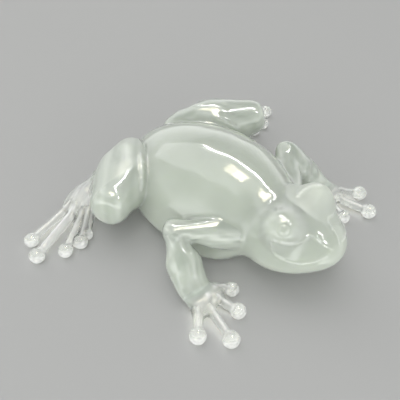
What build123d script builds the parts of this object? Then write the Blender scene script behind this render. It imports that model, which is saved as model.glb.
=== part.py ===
from build123d import *
import math
import os

os.makedirs("parts", exist_ok=True)

# A tree frog figurine of hot-worked glass, in millimetres.
# Frame: +X is the frog's left, the snout points to -Y, +Z is up.
# The origin is on the table, under the middle of the whole frog.
# The trunk is one opal gather. Eyes, limb segments, palms, feet and digits are
# separate pieces of glass, fused face to face: the thinner piece is seated on the
# thicker one. The right side mirrors the left.

# Trunk
trunk_length = 81.6
trunk_width = 46.0
back_height = 28.3
head_width = 29.2
head_height = 22.6
belly_press = 1.5

# Eyes, two applied domes
eye_diameter = 11.4
eye_spacing = 16.0

# Fore limb: plan lengths of its segments, sizes across them, joint heights
upper_arm_length = 18.3
upper_arm_width = 9.6
upper_arm_depth = 8.4
forearm_length = 14.2
forearm_width = 9.8
forearm_depth = 7.6
elbow_width = 6.4
elbow_height = 15.3
wrist_width = 9.2
wrist_depth = 5.0
wrist_height = 4.0
palm_length = 6.6
palm_width = 10.8
palm_depth = 2.8
palm_height = 2.6

# Hind limb, folded: plan lengths, sizes across, joint heights
thigh_length = 23.6
thigh_girth = 19.4
hip_girth = 13.0
knee_girth = 13.4
knee_height = 15.5
shank_length = 23.4
shank_girth = 11.6
heel_girth = 7.6
heel_height = 6.5
foot_length = 16.4
foot_width = 10.4
ankle_width = 7.2
foot_depth = 3.0
ankle_depth = 5.2
foot_height = 2.6

# Digits: plan reach from the root to the bead's centre, bead and rod diameters
finger_1_reach = 7.7
finger_2_reach = 9.0
finger_3_reach = 13.5
finger_4_reach = 9.1
finger_1_bead = 4.4
finger_2_bead = 4.7
finger_3_bead = 5.0
finger_4_bead = 4.9
finger_1_rod = 2.3
finger_2_rod = 2.8
finger_3_rod = 2.7
finger_4_rod = 2.9
toe_1_reach = 21.3
toe_2_reach = 24.1
toe_3_reach = 19.3
toe_4_reach = 15.0
toe_5_reach = 12.1
toe_1_bead = 4.6
toe_2_bead = 5.0
toe_3_bead = 4.7
toe_4_bead = 4.5
toe_5_bead = 3.7
toe_1_rod = 2.5
toe_2_rod = 3.1
toe_3_rod = 2.6
toe_4_rod = 2.6
toe_5_rod = 2.3
bead_press = 0.25
measure_step = 0.05

# Headings in plan, in degrees from straight ahead, positive outwards
upper_arm_heading = 130.5
forearm_heading = 19.5
palm_heading = -4.0
thigh_heading = 56.2
shank_heading = 209.0
foot_heading = 78.0
finger_headings = (-48.5, -12.5, 13.5, 45.1)
toe_headings = (79.2, 70.2, 56.1, 47.9, 47.5)

# Trunk cross-sections, rump to snout, as shares: place along trunk_length; half
# width over half of trunk_width or head_width; top, underside and widest level
# over back_height or head_height. Undersides that rest on the table are pressed
# by belly_press below it, then cut flat.
torso_shares = (
    (0.008, 0.215, 0.510, 0.260, 0.375),
    (0.040, 0.465, 0.630, 0.130, 0.318),
    (0.110, 0.715, 0.762, 0.000, 0.262),
    (0.210, 0.910, 0.878, 0.000, 0.232),
    (0.331, 1.000, 0.965, 0.000, 0.220),
    (0.454, 1.000, 1.000, 0.000, 0.200),
    (0.560, 0.915, 0.975, 0.000, 0.170),
    (0.635, 0.785, 0.905, 0.000, 0.195),
)
head_shares = (
    (0.700, 0.985, 1.045, 0.095, 0.400),
    (0.770, 1.010, 0.995, 0.200, 0.487),
    (0.850, 0.970, 0.945, 0.270, 0.533),
    (0.915, 0.790, 0.880, 0.370, 0.580),
    (0.965, 0.520, 0.795, 0.480, 0.615),
    (0.992, 0.250, 0.705, 0.575, 0.632),
)
rump_tip_share = 0.389
snout_tip_share = 0.638

# Where pieces are seated, as shares of the trunk or of the piece they leave
eye_station_share = 0.810
eye_level_share = 0.925
shoulder_station_share = 0.655
shoulder_out_share = 0.52
shoulder_level_share = 0.44
hip_station_share = 0.085
hip_out_share = 0.50
hip_level_share = 0.44

# Along a limb: place, width and depth as shares of the piece's named sizes
thigh_bulge_shares = ((0.30, 0.98), (0.73, 0.87))
arm_bulge_share = 0.45
forearm_bow_share = 0.03
tucked_share = 0.92
finger_root_shares = ((0.25, -0.28), (0.64, -0.22), (0.66, 0.05), (0.58, 0.26))
toe_root_shares = ((0.72, 0.22), (0.78, -0.02), (0.76, -0.20), (0.74, -0.32), (0.66, -0.38))
neck_flare_share = 0.62
neck_place_share = 1.75
cap_shares = (0.50, 0.86)


def at(forward, out, height):
    """Point of the left side, from its place ahead, to the side and up."""
    return Vector(out, -forward, height)


def along(start, length, heading, height):
    """Point reached from start by a plan length at a heading, at a height."""
    turn = math.radians(heading)
    forward = -start.Y + length * math.cos(turn)
    out = start.X + length * math.sin(turn)
    return at(forward, out, height)


def station(share):
    """Forward place of a share of the trunk's length, from its middle."""
    return trunk_length * share - trunk_length / 2


def between(first, last, share):
    return first + (last - first) * share


def trunk_ring(share, half, top, bottom, waist):
    """Closed curve across the trunk: a half ellipse above its widest level, one below."""
    plane = Plane(origin=at(station(share), 0, waist), x_dir=(1, 0, 0), z_dir=(0, -1, 0))
    upper = plane * EllipticalCenterArc((0, 0), half, top - waist, 0, arc_size=180)
    lower = plane * EllipticalCenterArc((0, 0), half, waist - bottom, 180, arc_size=180)
    return Wire([upper, lower])


def limb(nodes):
    """Round-ended limb through nodes of centre, width across and depth."""
    centres = [node[0] for node in nodes]
    path = Spline(*centres) if len(centres) > 2 else Line(*centres)
    spread = [0.0]
    for first, last in zip(centres, centres[1:]):
        spread.append(spread[-1] + (last - first).length)
    places = [length / spread[-1] for length in spread]
    rings = []
    for place, node in zip(places, nodes):
        rings.append((node[0], path % place, node[1] / 2, node[2] / 2))
    first, last = rings[0], rings[-1]
    caps_first = [cap_ring(first, -1, share) for share in reversed(cap_shares)]
    caps_last = [cap_ring(last, 1, share) for share in cap_shares]
    wires = [oval(*ring) for ring in caps_first + rings + caps_last]
    tip_first = Vertex(*(first[0] - first[1] * first[3]))
    tip_last = Vertex(*(last[0] + last[1] * last[3]))
    return Solid.make_loft([tip_first] + wires + [tip_last])


def cap_ring(ring, sign, share):
    """Ring of a rounded end, a share of its depth beyond the end node."""
    centre, axis, half, deep = ring
    keep = math.sqrt(1 - share * share)
    return (centre + axis * (sign * share * deep), axis, half * keep, deep * keep)


def oval(centre, axis, half, deep):
    """Ellipse across a limb: half is level, deep is square to it."""
    level = Vector(0, 0, 1).cross(axis).normalized()
    plane = Plane(origin=centre, x_dir=level, z_dir=axis)
    return Wire([Edge.make_ellipse(half, deep, plane)])


def digit(root, reach, heading, bead, rod):
    """Rod that flares into a bead, turned about its own axis."""
    bead_centre = along(root, reach, heading, bead / 2 - bead_press)
    axis = bead_centre - root
    run = axis.length
    ball = bead / 2
    slim = rod / 2
    meet = ball * neck_flare_share
    back = run - math.sqrt(ball * ball - meet * meet)
    neck = back - ball * (neck_place_share - 1)
    slope = Vector(meet, back - run)
    rise = Vector(-slope.Y, slope.X).normalized()
    rod_line = Line((0, 0), (slim, 0))
    side_line = Line((slim, 0), (slim, neck))
    flare = Spline((slim, neck), (meet, back), tangents=[(0, 1), (rise.X, rise.Y)])
    dome = ThreePointArc((meet, back), (ball, run), (0, run + ball))
    close = Line((0, run + ball), (0, 0))
    face = make_face(Wire([rod_line, side_line, flare, dome, close]))
    turned = revolve(Plane.XZ * face, Axis.Z)
    return Plane(origin=root, z_dir=axis) * turned


def on_table(shape):
    """What of a shape is above the table."""
    return split(shape, bisect_by=Plane.XY, keep=Keep.TOP)


def seated(shape, *neighbours):
    """A piece as it is left once its thicker neighbours are taken out of it."""
    for neighbour in neighbours:
        shape = shape - neighbour
    return largest(shape)


def largest(shape):
    return max(shape.solids(), key=lambda solid: solid.volume)


# Trunk: one gather, torso and head, resting on its belly
half_torso = trunk_width / 2
half_head = head_width / 2
rings = []
for share, wide, top, bottom, waist in torso_shares:
    under = bottom * back_height if bottom > 0 else -belly_press
    rings.append(trunk_ring(share, wide * half_torso, top * back_height, under, waist * back_height))
for share, wide, top, bottom, waist in head_shares:
    rings.append(trunk_ring(share, wide * half_head, top * head_height, bottom * head_height,
                            waist * head_height))
rump_tip = Vertex(*at(station(0), 0, rump_tip_share * back_height))
snout_tip = Vertex(*at(station(1), 0, snout_tip_share * head_height))
trunk_blank = largest(on_table(Solid.make_loft([rump_tip] + rings + [snout_tip])))

# Eyes: round beads, sunk in sockets of the crown
eye_centre = at(station(eye_station_share), eye_spacing / 2, eye_level_share * head_height)
eye = Pos(eye_centre) * Sphere(eye_diameter / 2)
eye_right = mirror(eye, about=Plane.YZ)
trunk = largest(trunk_blank - eye - eye_right)

# Fore limb
shoulder = at(station(shoulder_station_share), shoulder_out_share * half_torso,
              shoulder_level_share * back_height)
elbow = along(shoulder, upper_arm_length, upper_arm_heading, elbow_height)
wrist = along(elbow, forearm_length, forearm_heading, wrist_height)
palm_end = along(wrist, palm_length, palm_heading, palm_height)
arm_middle = between(shoulder, elbow, arm_bulge_share)
upper_arm = limb([
    (shoulder, upper_arm_width, upper_arm_depth),
    (arm_middle, upper_arm_width, upper_arm_depth),
    (elbow, elbow_width, elbow_width),
])
forearm_bow = forearm_width * forearm_bow_share
forearm_middle = along(between(elbow, wrist, arm_bulge_share), forearm_bow, forearm_heading + 90,
                       between(elbow, wrist, arm_bulge_share).Z)
forearm = limb([
    (elbow, elbow_width * tucked_share, elbow_width * tucked_share),
    (forearm_middle, forearm_width, forearm_depth),
    (wrist, wrist_width, wrist_depth),
])
palm = limb([
    (wrist, wrist_width * tucked_share, wrist_depth * tucked_share),
    (palm_end, palm_width, palm_depth),
])

# Hind limb, folded beside the trunk
hip = at(station(hip_station_share), hip_out_share * half_torso, hip_level_share * back_height)
knee = along(hip, thigh_length, thigh_heading, knee_height)
heel = along(knee, shank_length, shank_heading, heel_height)
foot_end = along(heel, foot_length, foot_heading, foot_height)
thigh = limb(
    [(hip, hip_girth, hip_girth)]
    + [(between(hip, knee, place), thigh_girth * girth, thigh_girth * girth)
       for place, girth in thigh_bulge_shares]
    + [(knee, knee_girth, knee_girth)]
)
shank = limb([
    (knee, knee_girth * tucked_share, knee_girth * tucked_share),
    (between(knee, heel, arm_bulge_share), shank_girth, shank_girth),
    (heel, heel_girth, heel_girth),
])
foot = limb([
    (heel, ankle_width, ankle_depth),
    (between(heel, foot_end, arm_bulge_share), foot_width, ankle_depth),
    (foot_end, foot_width, foot_depth),
])


def roots(start, end, width, heading, shares):
    """Places in a palm or foot from which its digits leave."""
    side = along(start, width, heading + 90, start.Z) - start
    return [between(start, end, place) + side * across for place, across in shares]


finger_roots = roots(wrist, palm_end, palm_width, palm_heading, finger_root_shares)
toe_roots = roots(heel, foot_end, foot_width, foot_heading, toe_root_shares)
finger_sizes = (
    (finger_1_reach, finger_1_bead, finger_1_rod),
    (finger_2_reach, finger_2_bead, finger_2_rod),
    (finger_3_reach, finger_3_bead, finger_3_rod),
    (finger_4_reach, finger_4_bead, finger_4_rod),
)
toe_sizes = (
    (toe_1_reach, toe_1_bead, toe_1_rod),
    (toe_2_reach, toe_2_bead, toe_2_rod),
    (toe_3_reach, toe_3_bead, toe_3_rod),
    (toe_4_reach, toe_4_bead, toe_4_rod),
    (toe_5_reach, toe_5_bead, toe_5_rod),
)
fingers = [digit(root, reach, heading, bead, rod)
           for root, heading, (reach, bead, rod) in zip(finger_roots, finger_headings, finger_sizes)]
toes = [digit(root, reach, heading, bead, rod)
        for root, heading, (reach, bead, rod) in zip(toe_roots, toe_headings, toe_sizes)]

# Each piece is seated on its thicker neighbours and cut flat where it rests
pieces = {}
pieces["body"] = trunk
pieces["eye"] = eye
pieces["thigh"] = seated(on_table(thigh), trunk)
pieces["shank"] = seated(on_table(shank), trunk, thigh)
pieces["foot"] = seated(on_table(foot), trunk, thigh, shank)
pieces["upper_arm"] = seated(on_table(upper_arm), trunk)
pieces["forearm"] = seated(on_table(forearm), trunk, upper_arm)
pieces["palm"] = seated(on_table(palm), trunk, upper_arm, forearm)
done = [forearm, palm]
for number, finger in enumerate(fingers, 1):
    pieces[f"finger_{number}"] = seated(on_table(finger), *done)
    done.append(pieces[f"finger_{number}"])
done = [shank, foot]
for number, toe in enumerate(toes, 1):
    pieces[f"toe_{number}"] = seated(on_table(toe), *done)
    done.append(pieces[f"toe_{number}"])

# The frame's middle is half way between the snout and the rearmost foot
outline = [point.Y for piece in pieces.values() for point in piece.tessellate(measure_step)[0]]
centred = Pos(0, -(min(outline) + max(outline)) / 2, 0)

for name, piece in pieces.items():
    placed = centred * piece
    if name == "body":
        export_step(placed, "parts/body.step")
        continue
    export_step(placed, f"parts/{name}_left.step")
    export_step(mirror(placed, about=Plane.YZ), f"parts/{name}_right.step")
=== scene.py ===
import math

import bpy
import numpy as np
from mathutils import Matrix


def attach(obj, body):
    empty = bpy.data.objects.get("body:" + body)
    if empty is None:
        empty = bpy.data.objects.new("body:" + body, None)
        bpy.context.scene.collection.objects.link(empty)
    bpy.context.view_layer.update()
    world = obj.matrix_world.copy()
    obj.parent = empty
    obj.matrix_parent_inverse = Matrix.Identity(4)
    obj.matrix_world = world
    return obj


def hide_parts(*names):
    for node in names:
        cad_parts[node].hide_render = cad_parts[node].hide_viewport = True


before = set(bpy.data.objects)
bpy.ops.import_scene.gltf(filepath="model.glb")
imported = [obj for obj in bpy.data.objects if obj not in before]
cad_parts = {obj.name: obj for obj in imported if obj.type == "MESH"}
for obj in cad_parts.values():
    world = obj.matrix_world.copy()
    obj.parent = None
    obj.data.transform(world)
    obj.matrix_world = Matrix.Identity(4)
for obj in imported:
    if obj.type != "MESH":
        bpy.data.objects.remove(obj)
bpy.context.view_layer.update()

import openvdb
from mathutils import Vector

# The glass is one skin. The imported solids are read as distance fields, melted together, and the
# joined surface is cut back into one closed piece for each node. Lengths are in mm up to the
# materials, and in metres from there on.

# ---------------------------------------------------------------- settings
voxel = 0.34            # step of the lattice
reach = 12              # voxels of distance kept on each side of a surface
far = voxel * reach
margin = 6              # empty voxels round the figure
SIDES = {"right": -1.0, "left": 1.0}        # and the sign of x on that side
LIMBS = ("upper_arm", "forearm", "thigh", "shank")
OPAL = ["body"] + [f"{part}_{side}" for side in SIDES for part in ("eye",) + LIMBS]
FINGERS, TOES = range(1, 5), range(1, 6)

# Fillets, by what they join
first_melt, rod_melt = 0.3, 0.7
eye_melt, hip_melt, shoulder_melt = 5.0, 0.9, 1.5
digit_melt, wrist_melt, knee_melt, elbow_melt = 1.3, 1.6, 0.9, 1.2


# ---------------------------------------------------------------- the solids as distance fields
def read(node):
    """Vertices in mm and triangles of a node's CAD mesh."""
    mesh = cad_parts[node].data
    mesh.calc_loop_triangles()
    points = np.empty(len(mesh.vertices) * 3, np.float32)
    mesh.vertices.foreach_get("co", points)
    faces = np.empty(len(mesh.loop_triangles) * 3, np.int32)
    mesh.loop_triangles.foreach_get("vertices", faces)
    return points.reshape(-1, 3) * 1000, faces.reshape(-1, 3).astype(np.uint32)


names = sorted(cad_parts, key=lambda n: (n != "body", n))
index = {n: i for i, n in enumerate(names)}
solids = {n: read(n) for n in names}
low = np.min([points.min(0) for points, _ in solids.values()], axis=0)
high = np.max([points.max(0) for points, _ in solids.values()], axis=0)
origin = np.floor(low / voxel).astype(int) - margin
size = np.ceil(high / voxel).astype(int) + margin - origin + 1
everywhere = tuple(slice(0, int(n)) for n in size)
scale = openvdb.createLinearTransform(voxelSize=voxel)


def box_of(a, b):
    """Slices of the lattice that cover the box from a to b, in mm."""
    first = np.clip(np.floor(np.asarray(a) / voxel).astype(int) - origin, 0, size)
    last = np.clip(np.ceil(np.asarray(b) / voxel).astype(int) + 1 - origin, 0, size)
    return tuple(slice(int(i), int(j)) for i, j in zip(first, last))


def lattice(cut):
    """x, y and z of the lattice points of a cut, in mm, ready to broadcast."""
    axes = [(np.arange(c.start, c.stop) + o).astype(np.float32) * np.float32(voxel) for c, o in zip(cut, origin)]
    return axes[0][:, None, None], axes[1][None, :, None], axes[2][None, None, :]


def cell(p):
    """The lattice point nearest a place in mm."""
    return np.round(np.asarray(p) / voxel).astype(int) - origin


cuts, fields = {}, {}
for node, (points, faces) in solids.items():
    grid = openvdb.FloatGrid.createLevelSetFromPolygons(
        points, triangles=faces, transform=scale, halfWidth=float(reach)
    )
    cut = box_of(points.min(0) - far, points.max(0) + far)
    field = np.empty([c.stop - c.start for c in cut], np.float32)
    grid.copyToArray(field, ijk=tuple(int(c.start + o) for c, o in zip(cut, origin)))
    cuts[node], fields[node] = cut, field
del grid


# ---------------------------------------------------------------- tools that shape a field
def melt(a, b, k):
    """Union of two distance fields with a fillet of about k."""
    h = np.maximum(k - np.abs(a - b), 0) / k
    return np.minimum(a, b) - h * h * (k / 4)


def blank():
    return np.full(tuple(size), far, np.float32)


def add(whole, node, k):
    whole[cuts[node]] = melt(whole[cuts[node]], fields[node], k)


def swell(whole, centre, radii, k):
    """An ellipsoid."""
    centre, radii = np.array(centre, np.float32), np.array(radii, np.float32)
    cut = box_of(centre - radii - k - 1, centre + radii + k + 1)
    x, y, z = lattice(cut)
    unit = np.sqrt(
        ((x - centre[0]) / radii[0]) ** 2 + ((y - centre[1]) / radii[1]) ** 2 + ((z - centre[2]) / radii[2]) ** 2
    )
    whole[cut] = melt(whole[cut], (unit - 1) * radii.min(), k)


def off_line(a, b, room):
    """A cut round the line from a to b, how far along it each point lies (0 to 1), and its distance squared."""
    cut = box_of(np.minimum(a, b) - room, np.maximum(a, b) + room)
    x, y, z = lattice(cut)
    d = b - a
    t = np.clip(((x - a[0]) * d[0] + (y - a[1]) * d[1] + (z - a[2]) * d[2]) / (d @ d), 0, 1)
    return cut, t, (x - a[0] - t * d[0]) ** 2 + (y - a[1] - t * d[1]) ** 2 + (z - a[2] - t * d[2]) ** 2


def cord(whole, path, radii, k):
    """A tapering rod through the points of path."""
    for (a, b), (ra, rb) in zip(zip(path, path[1:]), zip(radii, radii[1:])):
        a, b = np.array(a, np.float32), np.array(b, np.float32)
        cut, t, gap = off_line(a, b, max(ra, rb) + k + 0.5)
        whole[cut] = melt(whole[cut], np.sqrt(gap) - (ra + (rb - ra) * t), k)


def dent(whole, a, b, deep, wide):
    """A shallow hollow along the line from a to b."""
    cut, _, gap = off_line(np.array(a, np.float32), np.array(b, np.float32), 3 * wide)
    whole[cut] += deep * np.exp(-gap / wide**2)


def ends(node, towards):
    """The two ends of a node along its longest direction, the one nearer the point towards first."""
    points = solids[node][0].astype(float)
    centre = points.mean(0)
    axis = np.linalg.svd(points - centre, full_matrices=False)[2][0]
    run = (points - centre) @ axis
    pair = [centre + axis * run.min(), centre + axis * run.max()]
    return sorted(pair, key=lambda p: np.linalg.norm(p - towards))


def middle(node):
    points = solids[node][0]
    return (points.min(0) + points.max(0)) / 2.0


def mirrored(line, side):
    """A line given for the right side, moved to either side."""
    return [(-SIDES[side] * x, y, z) for x, y, z in line]


def top_of(whole, x, y):
    """Height of the upper surface over (x, y)."""
    i, j = (int(round(v / voxel)) - o for v, o in zip((x, y), origin[:2]))
    inside = np.flatnonzero(whole[i, j] < 0)
    if not len(inside):
        return 0.0
    k = int(inside[-1])
    a, b = whole[i, j, k], whole[i, j, k + 1]
    return (k + a / (a - b) + origin[2]) * voxel


tendon_steps = 7
tendon_root = 0.12        # share of the digit that its tendon starts on
tendon_taper = 0.25       # share of its girth that it loses


def tendon(whole, digit, plate, last, proud, girth):
    """A ridge that carries a digit's rod on over the plate, to last."""
    root, tip = ends(digit, middle(plate))
    first = root + (tip - root) * tendon_root
    path, radii = [], []
    for t in np.linspace(0, 1, tendon_steps):
        p = first * (1 - t) + last * t
        lift = top_of(whole, p[0], p[1])
        if lift <= 0:
            continue
        swollen = math.sin(math.pi * (0.2 + 0.6 * (1 - t)))        # proudest half way
        path.append((p[0], p[1], lift - girth + proud * swollen))
        radii.append(girth * (1 - tendon_taper * t))
    if len(path) > 1:
        cord(whole, path, radii, rod_melt)


def slope_at(field, p):
    """The direction straight out of the surface at a place."""
    i = cell(p)
    d = [field[tuple(i + e)] - field[tuple(i - e)] for e in np.eye(3, dtype=int)]
    return np.array(d, float) / (np.linalg.norm(d) + 1e-9)


crest_fade = 0.04        # share of a crest's length at either end over which it doesn't fade on


def crest(whole, line, proud, girth, k=0.8, steps=8):
    """A soft ridge along a line of places on the surface, faded at both ends. Gives back its places."""
    line = np.array(line, float)
    run = np.concatenate([[0], np.cumsum(np.linalg.norm(np.diff(line, axis=0), axis=1))])
    path, radii, places = [], [], []
    for t in np.linspace(0, run[-1], steps):
        p = np.array([np.interp(t, run, line[:, a]) for a in range(3)])
        for _ in range(3):        # onto the surface
            p = p - slope_at(whole, p) * float(whole[tuple(cell(p))]) * 0.8
        share = math.sin(math.pi * min(max(t / run[-1], crest_fade), 1 - crest_fade)) ** 0.5
        path.append(p - slope_at(whole, p) * (girth - proud * share))
        radii.append(girth)
        places.append(p)
    cord(whole, path, radii, k)
    return places


def blur(field, sigma):
    """A field run through a bell curve of sigma voxels."""
    r = int(3 * sigma + 0.5)
    weights = np.exp(-0.5 * (np.arange(-r, r + 1) / sigma) ** 2)
    weights = (weights / weights.sum()).astype(np.float32)
    for axis in range(3):
        padded = np.pad(field, [(r, r) if a == axis else (0, 0) for a in range(3)], mode="edge")
        field = np.zeros_like(field)
        for i, weight in enumerate(weights):
            cut = [slice(None)] * 3
            cut[axis] = slice(i, i + field.shape[axis])
            field += weight * padded[tuple(cut)]
    return field


# ---------------------------------------------------------------- forms that only the skin has
# Lines and places here are given for the right side where they are mirrored.

# Swellings are (centre, radii, fillet), and cords are (places, radii, fillet)
crown_swell = ((0.0, -27.0, 18.4), (6.5, 7.5, 5.2), 3.0)
right_thigh_swell = ((-13.2, 31.0, 17.4), (5.2, 5.2, 4.3), 2.5)
right_thigh_root = ([(-13.6, 30.6, 17.6), (-16.6, 28.2, 18.5), (-20.0, 25.0, 18.6)], (4.3, 4.5, 4.4), 2.5)
left_thigh_root = (
    [(3.9, 34.0, 13.6), (8.8, 33.5, 15.4), (11.9, 32.0, 17.3), (15.2, 28.4, 19.4), (20.5, 24.0, 19.5)],
    (2.6, 3.0, 3.1, 3.2, 3.5),
    2.5,
)
LEFT_ELBOW = [
    ([(25.9, -4.1, 16.4), (26.9, -6.2, 14.7), (28.3, -9.3, 12.0), (28.6, -12.9, 9.7)], (2.3, 2.5, 2.4, 2.0), 1.5),
    ([(24.6, -8.2, 15.6), (23.9, -10.2, 14.3), (23.3, -12.2, 12.8)], (2.3, 2.3, 1.6), 2.0),
    ([(26.0, -7.6, 14.8), (25.6, -10.2, 13.0), (25.0, -12.8, 11.0)], (2.5, 2.5, 1.8), 2.5),
]

# Straight rods laid along the top of both upper arms: both ends of each, and how thick
ARM_RODS = [
    ((-26.6, -4.6, 15.9), (-16.2, -11.3, 15.9), 2.5),
    ((-24.9, -6.9, 16.6), (-17.6, -12.1, 16.6), 1.3),
    ((-23.9, -9.0, 15.9), (-18.4, -12.9, 16.1), 1.1),
]

# How proud the tendon of each digit stands, how thick it is, and how far past the wrist or heel it runs
finger_proud, finger_tendon, finger_past = (0.15, 0.25, 0.42, 0.30), 0.8, 0.25
toe_proud, toe_tendon, toe_short = (0.25, 0.30, 0.28, 0.22, 0.18), 0.85, 0.12

# Crests that catch the light along the limbs: places on the surface, how proud, and how thick.
# The thigh's is on both sides, the forearm's are on the right.
CRESTS = {
    "forearm": [
        ([(-27.6, -4.6, 17.6), (-27.9, -5.8, 16.6), (-28.2, -7.7, 15.1), (-29.4, -10.0, 12.8)], 0.24, 1.4),
        ([(-30.4, -8.7, 13.6), (-32.0, -11.5, 10.5), (-33.7, -14.2, 7.6)], 0.08, 0.8),
        ([(-25.6, -8.6, 14.2), (-27.5, -12.0, 11.5), (-29.2, -15.2, 9.0)], 0.10, 0.8),
    ],
    "thigh": [([(-16.5, 22.0, 22.0), (-17.3, 20.0, 21.0), (-20.0, 17.1, 19.2), (-21.9, 15.1, 16.7)], 0.22, 0.9)],
}
foot_ridge = [
    (-24.6, 38.8, 8.2), (-25.9, 38.4, 7.7), (-27.9, 37.7, 7.2), (-29.8, 37.1, 6.6),
    (-31.8, 36.6, 5.9), (-34.2, 35.8, 5.2), (-36.4, 34.9, 4.8),
]
foot_proud, foot_girth = 0.45, 1.6
thigh_dent = ((-20.2, 31.8, 22.4), (-22.6, 26.3, 23.4), 1.1, 1.9)        # both ends, how deep, how wide

# The brow of the left eye, a line down the inner edge of the right thigh, and fine lines that run
# round the right half of the muzzle, along the mouth and along the jaw. Each is a low crest, and its
# colour is painted lighter: a painted highlight on the brow and the thigh's line, and painted
# reflections on the lines of the muzzle
left_brow = [
    (2.2, -24.8, 24.4), (3.4, -24.7, 24.6), (5.1, -24.9, 25.0),
    (6.8, -25.8, 25.7), (8.2, -27.1, 26.0), (9.5, -27.9, 25.8),
]
thigh_edge = [
    (-14.8, 23.6, 22.3), (-16.9, 21.1, 22.1), (-19.1, 18.6, 20.9), (-21.0, 16.4, 19.3), (-22.5, 15.0, 17.1),
]
FACE_LINES = [
    [
        (-13.2, -28.4, 21.1), (-12.4, -30.6, 21.1), (-10.6, -32.6, 20.6), (-8.7, -33.8, 20.4), (-6.8, -34.3, 20.5),
        (-4.5, -34.2, 21.1), (-3.7, -35.0, 20.6), (-3.4, -37.2, 19.3), (-2.7, -39.0, 18.4), (-1.6, -40.5, 17.6),
    ],
    [
        (-13.3, -28.5, 20.1), (-13.4, -29.1, 17.7), (-13.3, -30.5, 16.4), (-12.6, -32.5, 15.9), (-11.5, -34.7, 15.6),
        (-9.9, -37.0, 15.8), (-8.0, -38.7, 16.1), (-5.6, -40.0, 16.7), (-3.1, -40.6, 17.3),
    ],
]


# ---------------------------------------------------------------- the joined skin
def leg(side):
    limb = blank()
    add(limb, f"thigh_{side}", first_melt)
    if side == "right":
        swell(limb, *right_thigh_swell)
        cord(limb, *right_thigh_root)
    else:
        cord(limb, *left_thigh_root)
    add(limb, f"shank_{side}", knee_melt)
    foot = blank()
    add(foot, f"foot_{side}", first_melt)
    for n in TOES:
        add(foot, f"toe_{n}_{side}", digit_melt)
    heel, fan = ends(f"foot_{side}", middle(f"shank_{side}"))
    for n, proud in zip(TOES, toe_proud):
        tendon(foot, f"toe_{n}_{side}", f"foot_{side}", heel + (fan - heel) * toe_short, proud, toe_tendon)
    return melt(limb, foot, wrist_melt)


def arm(side):
    limb = blank()
    add(limb, f"upper_arm_{side}", first_melt)
    add(limb, f"forearm_{side}", elbow_melt)
    if side == "left":
        for fill in LEFT_ELBOW:
            cord(limb, *fill)
    hand = blank()
    add(hand, f"palm_{side}", first_melt)
    for n in FINGERS:
        add(hand, f"finger_{n}_{side}", digit_melt)
    wrist, fan = ends(f"palm_{side}", middle(f"forearm_{side}"))
    limb = melt(limb, hand, wrist_melt)
    for n, proud in zip(FINGERS, finger_proud):
        tendon(limb, f"finger_{n}_{side}", f"palm_{side}", wrist + (wrist - fan) * finger_past, proud, finger_tendon)
    return limb


whole = blank()
whole[cuts["body"]] = fields["body"]
for side in SIDES:
    add(whole, f"eye_{side}", eye_melt)
swell(whole, *crown_swell)
for side in SIDES:
    whole = melt(whole, leg(side), hip_melt)
    whole = melt(whole, arm(side), shoulder_melt)
crest(whole, foot_ridge, foot_proud, foot_girth)
dent(whole, *thigh_dent)
for a, b, girth in ARM_RODS:
    for side in SIDES:
        cord(whole, mirrored((a, b), side), (girth, girth), rod_melt)
for part, crests in CRESTS.items():
    for line, proud, girth in crests:
        for side in SIDES:
            if part == "thigh" or side == "right":
                crest(whole, mirrored(line, side), proud, girth)


def wave(parts, *coordinates):
    """A sum of sines: parts are (amplitude, phase, one frequency per coordinate)."""
    return sum(
        a * np.sin(2 * math.pi * sum(f * c for f, c in zip(freq, coordinates)) + phase) for a, phase, *freq in parts
    )


def axes_of(node):
    """Centre, long direction, level direction across it and the third one, of a limb."""
    first, last = ends(node, middle("body"))
    along = (last - first) / np.linalg.norm(last - first)
    across = np.cross((0, 0, 1), along)
    across /= np.linalg.norm(across)
    return (first + last) / 2, along, across, np.cross(along, across)


# Flutes that drawn glass keeps along a limb: (amplitude, phase, waves a mm across and upwards).
# They fade where the skin stands off the solid by more than flute_fade.
FLUTES = {
    "upper_arm": [(0.04, 0.6, 0.30, 0.10)],
    "forearm": [(0.04, 1.2, 0.36, 0.05)],
    "thigh": [(0.035, 0.4, 0.13, 0.05)],
    "shank": [(0.035, 0.9, 0.17, 0.05)],
}
flute_fade = 1.2
for side in SIDES:
    for part, flutes in FLUTES.items():
        node = f"{part}_{side}"
        cut = cuts[node]
        x, y, z = lattice(cut)
        centre, along, across, lift = axes_of(node)
        if side == "left":
            across = -across
        u = (x - centre[0]) * across[0] + (y - centre[1]) * across[1] + (z - centre[2]) * across[2]
        v = (x - centre[0]) * lift[0] + (y - centre[1]) * lift[1] + (z - centre[2]) * lift[2]
        own = np.clip(1.0 - (fields[node] - whole[cut]) / flute_fade, 0, 1) ** 2
        whole[cut] += (wave(flutes, u, v) * own).astype(np.float32)

# The slow unevenness of glass worked by hand, which fades out towards the floor
flat_height, flat_fade = 0.4, 3.0
slow_deep, quick_deep = 0.05, 0.035
x, y, z = lattice(everywhere)
calm = np.clip((z - flat_height) / flat_fade, 0, 1)
slow = slow_deep * np.sin(x * 0.41 + 0.7 * np.sin(y * 0.23)) * np.cos(y * 0.33 + 1.1)
quick = quick_deep * np.sin(y * 0.57 + x * 0.21 + z * 0.4)
whole += (calm * (slow + quick)).astype(np.float32)

polish = 0.8        # voxels
whole = blur(whole, polish)

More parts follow.
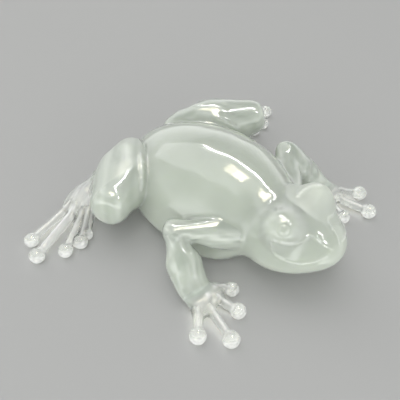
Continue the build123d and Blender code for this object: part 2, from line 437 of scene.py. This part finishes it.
# Places that run on softly: the mounds of the eyes, drawn out of the head, and the bend of the left arm.
# Each is (centre, radius, width of the fade, how much softer in voxels)
soft_places = [(middle(f"eye_{side}"), 11.0, 4.0, 6.0) for side in SIDES]
soft_places.append((np.array([25.4, -8.4, 16.6]), 4.5, 2.5, 3.0))
for centre, radius, fade, sigma in soft_places:
    cut = box_of(centre - radius - 1, centre + radius + 1)
    x, y, z = lattice(cut)
    away = np.sqrt((x - centre[0]) ** 2 + (y - centre[1]) ** 2 + (z - centre[2]) ** 2)
    share = np.clip((radius - away) / fade, 0, 1)
    whole[cut] += (blur(whole[cut], sigma) - whole[cut]) * share.astype(np.float32)

# The fine lines come after the blur, which would take them out
# Their places also carry painted highlights and painted reflections into the colour of the body, the eyes and the
# right thigh
brow_highlight_places = crest(whole, left_brow, proud=0.20, girth=0.8, k=0.6, steps=30)
highlight_line_places = [brow_highlight_places, crest(whole, thigh_edge, proud=0.25, girth=0.7, k=0.5, steps=30)]
for side in SIDES:
    for line in FACE_LINES:
        highlight_line_places.append(crest(whole, mirrored(line, side), proud=0.08, girth=0.5, k=0.3, steps=40))

# A shallow ring pressed into each eye, where its pupil would be
ring_radius, ring_line, ring_deep = 1.5, 0.24, 0.15
ring_room, ring_thick = 3.5, 1.5        # how far round its centre, and in front of and behind it, it is looked for
ring_place, ring_facing = (10.9, -30.4, 24.8), (0.52, -0.52, 0.68)
for sign in SIDES.values():
    centre = np.array([sign * ring_place[0], *ring_place[1:]])
    facing = np.array([sign * ring_facing[0], *ring_facing[1:]])
    cut = box_of(centre - ring_room, centre + ring_room)
    x, y, z = lattice(cut)
    h = (x - centre[0]) * facing[0] + (y - centre[1]) * facing[1] + (z - centre[2]) * facing[2]
    out = np.sqrt(np.maximum((x - centre[0]) ** 2 + (y - centre[1]) ** 2 + (z - centre[2]) ** 2 - h * h, 0))
    ring = np.exp(-(((out - ring_radius) / ring_line) ** 2)) * np.exp(-((h / ring_thick) ** 2))
    whole[cut] += (ring_deep * ring).astype(np.float32)

grid = openvdb.FloatGrid(far)
grid.transform = scale
grid.copyFromArray(whole, ijk=tuple(int(v) for v in origin))
points, _, quads = grid.convertToPolygons(isovalue=0.0, adaptivity=0.0)
points = points.astype(np.float64)
quads = quads.astype(np.int64)
del grid


# ---------------------------------------------------------------- which node each face stands for
def sample(field, cut, places):
    """Values of a field on its cut of the lattice, at places in mm, and far where it has none."""
    q = places / voxel - origin - [c.start for c in cut]
    i = np.floor(q).astype(np.int64)
    inside = np.all((i >= 0) & (i < np.array(field.shape) - 1), axis=1)
    found = np.full(len(places), far)
    i = i[inside]
    f = q[inside] - i
    total = 0
    for corner in np.ndindex(2, 2, 2):
        weight = np.prod(np.where(corner, f, 1 - f), axis=1)
        total = total + weight * field[tuple((i + corner).T)]
    found[inside] = total
    return found


def sides_of(faces):
    """The directed edges of faces with four corners."""
    return np.stack([faces, np.roll(faces, -1, axis=1)], axis=2).reshape(-1, 2)


slopes = [sample(whole, everywhere, points + d) - sample(whole, everywhere, points - d) for d in np.eye(3) * voxel]
normals = np.stack(slopes, axis=1)
normals /= np.linalg.norm(normals, axis=1, keepdims=True)
near = np.stack([sample(fields[n], cuts[n], points) for n in names], axis=1)
owner = near[quads].mean(axis=1).argmin(axis=1)

edges = sides_of(quads)
key, back = edges[:, 0] * len(points) + edges[:, 1], edges[:, 1] * len(points) + edges[:, 0]
order = np.argsort(key)
beside = (order[np.searchsorted(key, back, sorter=order).clip(0, len(key) - 1)] // 4).reshape(-1, 4)
for _ in range(12):        # a face among another node's faces goes to that node
    around = owner[beside]
    votes = (around[:, :, None] == around[:, None, :]).sum(axis=2)
    most = around[np.arange(len(around)), votes.argmax(axis=1)]
    lone = ((around == owner[:, None]).sum(axis=1) <= 1) & (votes.max(axis=1) >= 3)
    if not lone.any():
        break
    owner = np.where(lone, most, owner)


# ---------------------------------------------------------------- what the materials read from each vertex
# How milky the clear glass is, from 0 to 1, and how much more its streaks make it
FINGER_MILK = (0.18, 0.38, 0.32, 0.12)
TOE_MILK = (0.24, 0.34, 0.24, 0.20, 0.24)
PALM_MILK, FOOT_MILK = 0.10, 0.40
palm_streak, foot_streak, digit_streak = 0.16, 0.14, 0.18
# A white thread of milk along the upper side of each rod: a painted highlight, in place of the bright line the rod's
# glass focuses
core_highlight_milk, core_highlight_wide, core_highlight_deep = 0.40, 0.42, 0.5
bead_long, bead_fade = 3.2, 1.2                     # measured back from the tip
# The lower half of each bead is milky white: partly milk, and partly painted light where the bead focuses the light
# from above
bead_milk, bead_milk_and_light = 0.10, 0.85                   # of its upper half, and what the lower half adds
bead_middle, bead_turn = 2.3, 2.6                   # height where it turns milky, and over what height
root_share = 0.4                                    # share of a digit over which it is still like its plate
rim_milk, rim_long, rim_streak = 0.85, 3.2, 0.9     # where the opal before it runs out
least_milk, most_milk = 0.05, 0.95

# How deep inside the skin of a piece counts as far from its seams
seam_deep, least_inset = 3.5, 0.02
seam_power = 1.3

# What the cuts between the pieces have instead
CAP_VALUES = {"inset": least_inset, "streak": 0.5, "haze": 0.0, "milk": 0.5, "rim": 0.0}

# How wide the painted highlight lines and the painted brow highlight are, and how light the painted highlight line
# on the right thigh is
highlight_line_wide, brow_highlight_wide = 0.4, 0.6
thigh_highlight_streak = 1.15
thigh_haze_from, thigh_haze_fade = 18.8, 2.2        # y
eye_haze, eye_haze_radius, eye_haze_fade = 1.7, 10.8, 3.6


def ease(share):
    """A share from 0 to 1 that starts and ends softly."""
    return share * share * (3 - 2 * share)


def noise(p, step, seed, count=9):
    """A smooth sum of waves of about the given length, between -1 and 1."""
    rng = np.random.default_rng(seed)
    total = np.zeros(len(p))
    for _ in range(count):
        d = rng.normal(size=p.shape[1])
        d *= rng.uniform(0.7, 1.5) / np.linalg.norm(d)
        total += np.sin(2 * math.pi * (p @ (d / step)) + rng.uniform(0, 2 * math.pi))
    return total / math.sqrt(count)


def streaks(node, p):
    """Lengthwise streaks, as glass drawn out into a limb or a digit shows them."""
    if node.startswith(("thigh", "shank")):
        w = (np.abs(p[:, 0]) + p[:, 1]) / math.sqrt(2)
        wide = 0.5 * np.sin(2 * math.pi * w / 5.2 + 0.6 * np.sin(p[:, 2] * 0.35))
        return wide + 0.25 * np.sin(2 * math.pi * w / 2.3 + 1.0)
    centre, along, across, lift = axes_of(node)
    q = p - centre
    flat = np.stack([q @ across, q @ lift, (q @ along) * 0.04], axis=1)
    return 0.75 * noise(flat, 3.4, 3) + 0.35 * noise(flat, 1.5, 5)


def digit_milk(node, p, streak):
    """Milk of a rod and its bead: a white core along the rod, which is a painted highlight, and the lower half of
    the bead, which is partly milk and partly painted light.
    """
    part = node.rsplit("_", 1)[0]
    number = int(part.split("_")[1]) - 1
    if part.startswith("finger"):
        plate, plate_milk, base = node.replace(part, "palm"), PALM_MILK, FINGER_MILK[number]
    else:
        plate, plate_milk, base = node.replace(part, "foot"), 0.5 * FOOT_MILK, TOE_MILK[number]
    root, tip = ends(node, middle(plate))
    length = np.linalg.norm(tip - root)
    axis = (tip - root) / length
    base = plate_milk + (base - plate_milk) * np.clip(((p - root) @ axis) / (root_share * length), 0, 1)
    _, _, across, lift = axes_of(node)
    q = p - (root + tip) / 2
    # A painted highlight: white milk along the upper side of the rod
    core = np.exp(-(((q @ across) / core_highlight_wide) ** 2)) * np.clip((q @ lift) / core_highlight_deep, 0, 1)
    rod = base + digit_streak * streak + core_highlight_milk * core
    bead = np.clip(1 - (((tip - p) @ axis) - bead_long) / bead_fade, 0, 1)
    ahead = (((p - tip) @ axis) + 2.0) / 2.0        # the milk also lies a little towards the tip
    # Partly painted light: the lower half turns milky white where the bead focuses the light from above, on top of
    # the milk it has
    milk_and_light_half = np.clip(0.5 - (p[:, 2] - bead_middle) / bead_turn + 0.35 * ahead, 0, 1)
    return rod * (1 - bead) + bead * (bead_milk + bead_milk_and_light * milk_and_light_half)


def milk_of(node, p, to_opal):
    """Milk of clear glass, and its rim, where the opal before it runs out. to_opal is the distance to that."""
    streak = streaks(node, p)
    if node.startswith("palm"):
        milk = PALM_MILK + palm_streak * streak
    elif node.startswith("foot"):
        heel, fan = ends(node, middle(node.replace("foot", "shank")))
        share = np.clip((p - heel) @ (fan - heel) / ((fan - heel) @ (fan - heel)), 0, 1)
        milk = FOOT_MILK * (1 - 0.5 * share**1.5) + foot_streak * streak
    else:
        milk = digit_milk(node, p, streak)
    rim = np.clip(1 - (to_opal + rim_streak * streak) / rim_long, 0, 1) ** 1.3
    return {"milk": np.clip(milk + rim_milk * rim * (1 - milk), least_milk, most_milk), "rim": rim}


def on_painted_lines(p, lines, wide):
    """1 on the fine lines that carry painted highlights and reflections, falling to 0 beside them."""
    gap = np.full(len(p), 9.0)
    for places in lines:
        for a, b in zip(places, places[1:]):
            t = np.clip((p - a) @ (b - a) / ((b - a) @ (b - a) + 1e-9), 0, 1)
            gap = np.minimum(gap, np.linalg.norm(p - a - t[:, None] * (b - a), axis=1))
    return np.exp(-((gap / wide) ** 2))


def opal_values(node, p, to_own, to_rest):
    """inset is how deep in its own solid a place lies, streak goes to the colour, and haze to the gloss. On the
    body, the eyes and the right thigh, streak also carries painted highlights along the fine lines.
    """
    inset = np.clip((to_rest - to_own) / seam_deep, least_inset, 1) ** seam_power
    haze = np.zeros(len(p))
    if node == "body" or node.startswith("eye"):
        lines = on_painted_lines(p, highlight_line_places, highlight_line_wide)
        brow_highlight = on_painted_lines(p, [brow_highlight_places], brow_highlight_wide)
        # The fine lines and the brow are painted lighter: painted highlights and painted reflections
        streak = 0.5 + 0.5 * lines + 0.5 * brow_highlight
        # The painted brow highlight scatters less, so its near-white colour shows plainly
        inset *= 1 - 0.95 * brow_highlight
        if node != "eye_right":        # hazy round the left eye
            away = np.linalg.norm(p - middle("eye_left"), axis=1)
            haze = eye_haze * ease(np.clip((eye_haze_radius - away) / eye_haze_fade, 0, 1)) * (1 - lines)
    else:
        streak = np.clip(0.5 + 0.4 * streaks(node, p), 0, 1)
    if node == "thigh_right":        # hazy in its upper part
        # A painted highlight along the line down the thigh's inner edge
        streak += (thigh_highlight_streak - streak) * on_painted_lines(p, highlight_line_places, highlight_line_wide)
        haze = ease(np.clip((p[:, 1] - thigh_haze_from) / thigh_haze_fade, 0, 1))
    return {"inset": inset, "streak": streak, "haze": haze}


# ---------------------------------------------------------------- materials
def shader(name):
    mat = bpy.data.materials.new(name)
    mat.use_nodes = True
    tree = mat.node_tree
    return mat, tree, tree.nodes["Principled BSDF"]


def node_of(tree, kind, **settings):
    """A new shader node. A setting is a property of it or, with _ for a space, one of its sockets."""
    made = tree.nodes.new("ShaderNode" + kind)
    for key, value in settings.items():
        if hasattr(made, key):
            setattr(made, key, value)
        else:
            made.inputs[key.replace("_", " ")].default_value = value
    return made


def settle(bsdf, values):
    for key, value in values.items():
        bsdf.inputs[key].default_value = value


def times(tree, value, by, plus=0.0):
    made = node_of(tree, "Math", operation="MULTIPLY_ADD")
    tree.links.new(value, made.inputs[0])
    made.inputs[1].default_value, made.inputs[2].default_value = by, plus
    return made.outputs[0]


def joined(tree, operation, a, b):
    made = node_of(tree, "Math", operation=operation)
    tree.links.new(a, made.inputs[0])
    tree.links.new(b, made.inputs[1])
    return made.outputs[0]


def attribute(tree, name):
    return node_of(tree, "Attribute", attribute_name=name).outputs["Fac"]


def ramp(tree, value, *stops):
    made = node_of(tree, "ValToRGB")
    tree.links.new(value, made.inputs[0])
    points = made.color_ramp.elements
    while len(points) < len(stops):
        points.new(0.5)
    for point, (place, colour) in zip(points, stops):
        point.position, point.color = place, (*colour, 1)
    return made.outputs["Color"]


def surface_waves(tree, bsdf, size, deep):
    """The fine waviness of a fire-polished surface, as a bump."""
    place = node_of(tree, "TexCoord").outputs["Object"]
    pattern = node_of(tree, "TexNoise", Scale=1 / size, Detail=1.0, Roughness=0.4)
    tree.links.new(place, pattern.inputs["Vector"])
    bump = node_of(tree, "Bump", Strength=1.0, Distance=deep)
    tree.links.new(pattern.outputs[0], bump.inputs["Height"])
    tree.links.new(bump.outputs[0], bsdf.inputs["Normal"])
    return place


gloss, coat_gloss = 0.11, 0.08        # roughness of the opal and of the coat over it


def opal(name, stops, streak, scatter, hazy=False):
    """Milky glass. streak is how much of its colour the streaks make, and clouds make the rest. On the body and the
    eyes, what the streaks make is the painted highlights along the fine lines.
    """
    mat, tree, bsdf = shader(name)
    place = surface_waves(tree, bsdf, size=0.007, deep=0.00001)
    cloud = node_of(tree, "TexNoise", Scale=70.0, Detail=2.0, Roughness=0.5)
    tree.links.new(place, cloud.inputs["Vector"])
    clouds = times(tree, cloud.outputs[0], 1.0 - streak)
    mixed = joined(tree, "ADD", clouds, times(tree, attribute(tree, "streak"), streak))
    tree.links.new(ramp(tree, mixed, *stops), bsdf.inputs["Base Color"])
    settle(bsdf, {
        "Roughness": gloss,
        "IOR": 1.5,
        "Coat Weight": 1.0,
        "Coat Roughness": coat_gloss,
        "Coat IOR": 1.5,
        "Subsurface Weight": 1.0,
        "Subsurface Radius": (1.0, 1.0, 0.9),
    })
    if hazy:
        haze = attribute(tree, "haze")
        tree.links.new(times(tree, haze, 0.4, gloss), bsdf.inputs["Roughness"])
        tree.links.new(times(tree, haze, 0.3, coat_gloss), bsdf.inputs["Coat Roughness"])
    # Light that scatters inside one piece doesn't reach the next, so it scatters less towards the seams
    tree.links.new(times(tree, attribute(tree, "inset"), scatter), bsdf.inputs["Subsurface Scale"])
    return mat


def clear(name):
    """Clear glass with milk in it, which lets part of the light through to the floor."""
    mat, tree, bsdf = shader(name)
    surface_waves(tree, bsdf, size=0.003, deep=0.00001)
    rim = attribute(tree, "rim")
    colour = ramp(tree, rim, (0.0, (0.965, 0.985, 0.965)), (0.6, (0.70, 0.75, 0.69)))
    tree.links.new(colour, bsdf.inputs["Base Color"])
    settle(bsdf, {
        "Roughness": 0.06,
        "IOR": 1.46,
        "Subsurface Weight": 1.0,
        "Subsurface Radius": (1.0, 1.0, 1.0),
    })
    tree.links.new(times(tree, rim, -0.0019, 0.002), bsdf.inputs["Subsurface Scale"])
    milk = attribute(tree, "milk")
    tree.links.new(times(tree, milk, -1.0, 1.0), bsdf.inputs["Transmission Weight"])
    through = node_of(tree, "BsdfTransparent", Color=(0.93, 0.95, 0.93, 1))
    shadow = node_of(tree, "LightPath").outputs["Is Shadow Ray"]
    mix = node_of(tree, "MixShader")
    tree.links.new(joined(tree, "MULTIPLY", shadow, times(tree, milk, -0.8, 0.95)), mix.inputs[0])
    tree.links.new(bsdf.outputs[0], mix.inputs[1])
    tree.links.new(through.outputs[0], mix.inputs[2])
    tree.links.new(mix.outputs[0], tree.nodes["Material Output"].inputs["Surface"])
    return mat


def hidden(name):
    """The inside face between two clear pieces of the same glass, which nobody sees."""
    mat, tree, bsdf = shader(name)
    tree.nodes.remove(bsdf)
    through = node_of(tree, "BsdfTransparent")
    tree.links.new(through.outputs[0], tree.nodes["Material Output"].inputs["Surface"])
    return mat


# The two lightest trunk stops colour the painted highlight lines and the painted brow. The lightest limb stop is
# reached by the drawn streaks and by the painted highlight line on the right thigh.
trunk_stops = (
    (0.38, (0.535, 0.58, 0.51)),
    (0.5, (0.56, 0.605, 0.532)),
    (0.62, (0.585, 0.63, 0.556)),
    (0.78, (0.72, 0.765, 0.69)),
    (0.95, (0.93, 0.95, 0.91)),
)
limb_stops = (
    (0.2, (0.495, 0.54, 0.478)),
    (0.5, (0.56, 0.602, 0.54)),
    (0.8, (0.63, 0.67, 0.607)),
    (1.0, (0.78, 0.82, 0.76)),
)
TRUNK, LIMB = (trunk_stops, 0.5, 0.011), (limb_stops, 0.75, 0.007)
trunk_hazy = opal("opal_trunk_hazy", *TRUNK, hazy=True)
limb_glass = opal("opal_limb", *LIMB)
clear_glass = clear("clear_glass")
inner = hidden("glass_to_glass")
COATS = {
    "body": trunk_hazy,
    "eye_left": trunk_hazy,
    "eye_right": opal("opal_trunk", *TRUNK),
    "thigh_right": opal("opal_limb_hazy", *LIMB, hazy=True),
}


# ---------------------------------------------------------------- one closed piece for each node
def rings_of(rim):
    """The open edges of a skin, sorted into its rings."""
    group = {int(v): int(v) for v in np.unique(rim)}

    def head(v):
        while group[v] != v:
            v = group[v]
        return v

    for a, b in rim:
        group[head(int(b))] = head(int(a))
    heads = np.array([head(int(a)) for a in rim[:, 0]])
    return [rim[heads == one] for one in np.unique(heads)]


cap_rows, cap_bulge = (0.75, 0.5, 0.25), 0.25


def caps_of(places, rim, bulge):
    """Vertices and faces that close the rings of a skin, in rows, domed by bulge times the ring's radius."""
    extra, caps = [], []
    for ring_edges in rings_of(rim):
        ring = np.unique(ring_edges)
        centre = places[ring].mean(axis=0)
        arms = np.cross(places[ring_edges[:, 0]] - centre, places[ring_edges[:, 1]] - centre)
        out = arms.sum(axis=0)
        out *= -1 / max(np.linalg.norm(out), 1e-9)
        rise = bulge * np.linalg.norm(places[ring] - centre, axis=1).mean()
        rows = [dict(zip(ring, ring))]
        for share in cap_rows:
            number = len(places) + len(extra)
            extra += list(centre + (places[ring] - centre) * share + out * rise * (1 - share**2))
            rows.append({int(v): number + i for i, v in enumerate(ring)})
        number = len(places) + len(extra)
        extra.append(centre + out * rise)
        for outer, within in zip(rows, rows[1:]):
            caps += [(outer[b], outer[a], within[a], within[b]) for a, b in ring_edges]
        caps += [(rows[-1][b], rows[-1][a], number) for a, b in ring_edges]
    return np.array(extra).reshape(-1, 3), caps


def make(name, vertices, faces, loop_normals, coats, values):
    """A mesh object. Faces have a coat each, and a normal of zero is left to Blender."""
    mesh = bpy.data.meshes.new(name)
    mesh.from_pydata((vertices / 1000).tolist(), [], [tuple(int(v) for v in face) for face in faces])
    mesh.polygons.foreach_set("use_smooth", [True] * len(mesh.polygons))
    kinds = list(dict.fromkeys(coats))
    for mat in kinds:
        mesh.materials.append(mat)
    mesh.polygons.foreach_set("material_index", [kinds.index(coat) for coat in coats])
    mesh.update()
    mesh.normals_split_custom_set(loop_normals)
    for key, value in values.items():
        mesh.attributes.new(key, "FLOAT", "POINT").data.foreach_set("value", value.astype(np.float32))
    made = bpy.data.objects.new(name, mesh)
    bpy.context.scene.collection.objects.link(made)
    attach(made, "root")
    return made


def piece(node):
    """Cuts a node's faces out of the skin, closes them, and puts them in the place of its solid."""
    mine = quads[owner == index[node]]
    used, mine = np.unique(mine, return_inverse=True)
    mine = mine.reshape(-1, 4)
    places, facing, to = points[used], normals[used], near[used]
    sides = sides_of(mine)
    paired = np.isin(sides[:, 1] * len(places) + sides[:, 0], sides[:, 0] * len(places) + sides[:, 1])
    opaque = node in OPAL
    extra, caps = caps_of(places, sides[~paired], cap_bulge if opaque else 0.0)

    loops = np.zeros((mine.size + sum(len(cap) for cap in caps), 3))
    loops[: mine.size] = facing[mine.reshape(-1)]
    coat = COATS.get(node) or (limb_glass if opaque else clear_glass)
    coats = [coat] * len(mine) + [coat if opaque else inner] * len(caps)
    if opaque:
        others = [i for i in range(len(names)) if i != index[node]]
        values = opal_values(node, places, to[:, index[node]], to[:, others].min(axis=1))
    else:
        side = node.rsplit("_", 1)[1]
        opals = [index[f"{part}_{side}"] for part in ("forearm", "shank")]
        values = milk_of(node, places, to[:, opals].min(axis=1))
    values = {key: np.append(value, np.full(len(extra), CAP_VALUES[key])) for key, value in values.items()}

    made = make(node + "_glass", np.vstack([places, extra]), mine.tolist() + caps, loops.tolist(), coats, values)
    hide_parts(node)


for node in names:
    piece(node)

# ---------------------------------------------------------------- floor
floor_mesh = bpy.data.meshes.new("floor")
floor_mesh.from_pydata([(-4, -4, 0), (4, -4, 0), (4, 4, 0), (-4, 4, 0)], [], [(0, 1, 2, 3)])
floor = bpy.data.objects.new("floor", floor_mesh)
bpy.context.scene.collection.objects.link(floor)
mat, _, bsdf = shader("floor")
settle(bsdf, {"Base Color": (0.53, 0.53, 0.525, 1), "Roughness": 0.6, "Specular IOR Level": 0.0})
floor_mesh.materials.append(mat)

# ---------------------------------------------------------------- the room as the world
world = bpy.data.worlds.new("studio")
bpy.context.scene.world = world
world.use_nodes = True
tree = world.node_tree
direction = node_of(tree, "TexCoord").outputs["Generated"]


def towards(place):
    """How nearly a direction points to a place: 1 straight at it, and 0 at a right angle."""
    made = node_of(tree, "VectorMath", operation="DOT_PRODUCT")
    tree.links.new(direction, made.inputs[0])
    made.inputs[1].default_value = Vector(place).normalized()
    return made.outputs["Value"]


def blend(value, first, last, low, high):
    """From low to high, smoothly, as value goes from first to last."""
    made = node_of(tree, "MapRange", interpolation_type="SMOOTHSTEP")
    tree.links.new(value, made.inputs[0])
    for socket, number in zip(made.inputs[1:5], (first, last, low, high)):
        socket.default_value = number
    return made.outputs[0]


apart = node_of(tree, "SeparateXYZ")
tree.links.new(direction, apart.inputs[0])
dark_patch = blend(towards((-0.53, -0.46, 0.71)), 0.84, 0.90, 1.0, 0.35)        # the camera and its holder
walls = blend(apart.outputs["Z"], 0.05, 0.70, 1.6, 0.25)        # bright below, dim above
window = blend(towards((-0.74, -0.64, 0.1)), 0.1, 0.9, 0.8, 1.65)
sky = tree.nodes["Background"]
sky.inputs["Color"].default_value = (0.98, 1.0, 0.98, 1)
strength = joined(tree, "MULTIPLY", joined(tree, "MULTIPLY", dark_patch, walls), window)
tree.links.new(strength, sky.inputs["Strength"])


# ---------------------------------------------------------------- lamps and camera
def lamp(name, place, size, radiance, colour=(1, 1, 1), mirrored=True, lights=True):
    """A flat lamp that faces straight down. It can be mirrored in gloss, light the surfaces, or both."""
    data = bpy.data.lights.new(name, "AREA")
    data.shape = "RECTANGLE"
    data.size, data.size_y = size
    data.energy = radiance * math.pi * size[0] * size[1]
    data.color = colour
    made = bpy.data.objects.new(name, data)
    made.location = place
    made.visible_glossy, made.visible_diffuse = mirrored, lights
    bpy.context.scene.collection.objects.link(made)


# No two lamps that overlap are level, because then one hides the other
height = 1.0
lamp("ceiling_panel", (0.10, 1.2, height + 0.04), (1.04, 3.0), 1.02)
lamp("tube", (0.60, 0.35, height), (0.032, 1.40), 70.0, lights=False)
lamp("second_tube", (0.61, -0.74, height), (0.05, 0.34), 42.0, lights=False)
lamp("warm_lamp", (0.18, 0.05, height), (0.32, 0.50), 6.0, (1.0, 0.91, 0.66), lights=False)
lamp("warm_core", (0.17, -0.05, height - 0.02), (0.20, 0.24), 10.0, (1.0, 0.95, 0.76), lights=False)
lamp("fill", (-0.60, -0.52, height), (0.8, 0.8), 2.2, mirrored=False)

# The place and lens of the photo's camera, solved from the mirrored pairs of digit beads
eye_point, look_at = (-0.09089, -0.07893, 0.12365), (-0.000354, 0.011613, 0)
lens = bpy.data.cameras.new("camera")
lens.sensor_width, lens.lens = 36, 45.9
lens.clip_start, lens.clip_end = 0.01, 20
camera = bpy.data.objects.new("camera", lens)
camera.location = eye_point
camera.rotation_mode = "QUATERNION"
camera.rotation_quaternion = (Vector(look_at) - camera.location).to_track_quat("-Z", "Y")
bpy.context.scene.collection.objects.link(camera)
bpy.context.scene.camera = camera
bpy.context.scene.view_settings.view_transform = "Standard"
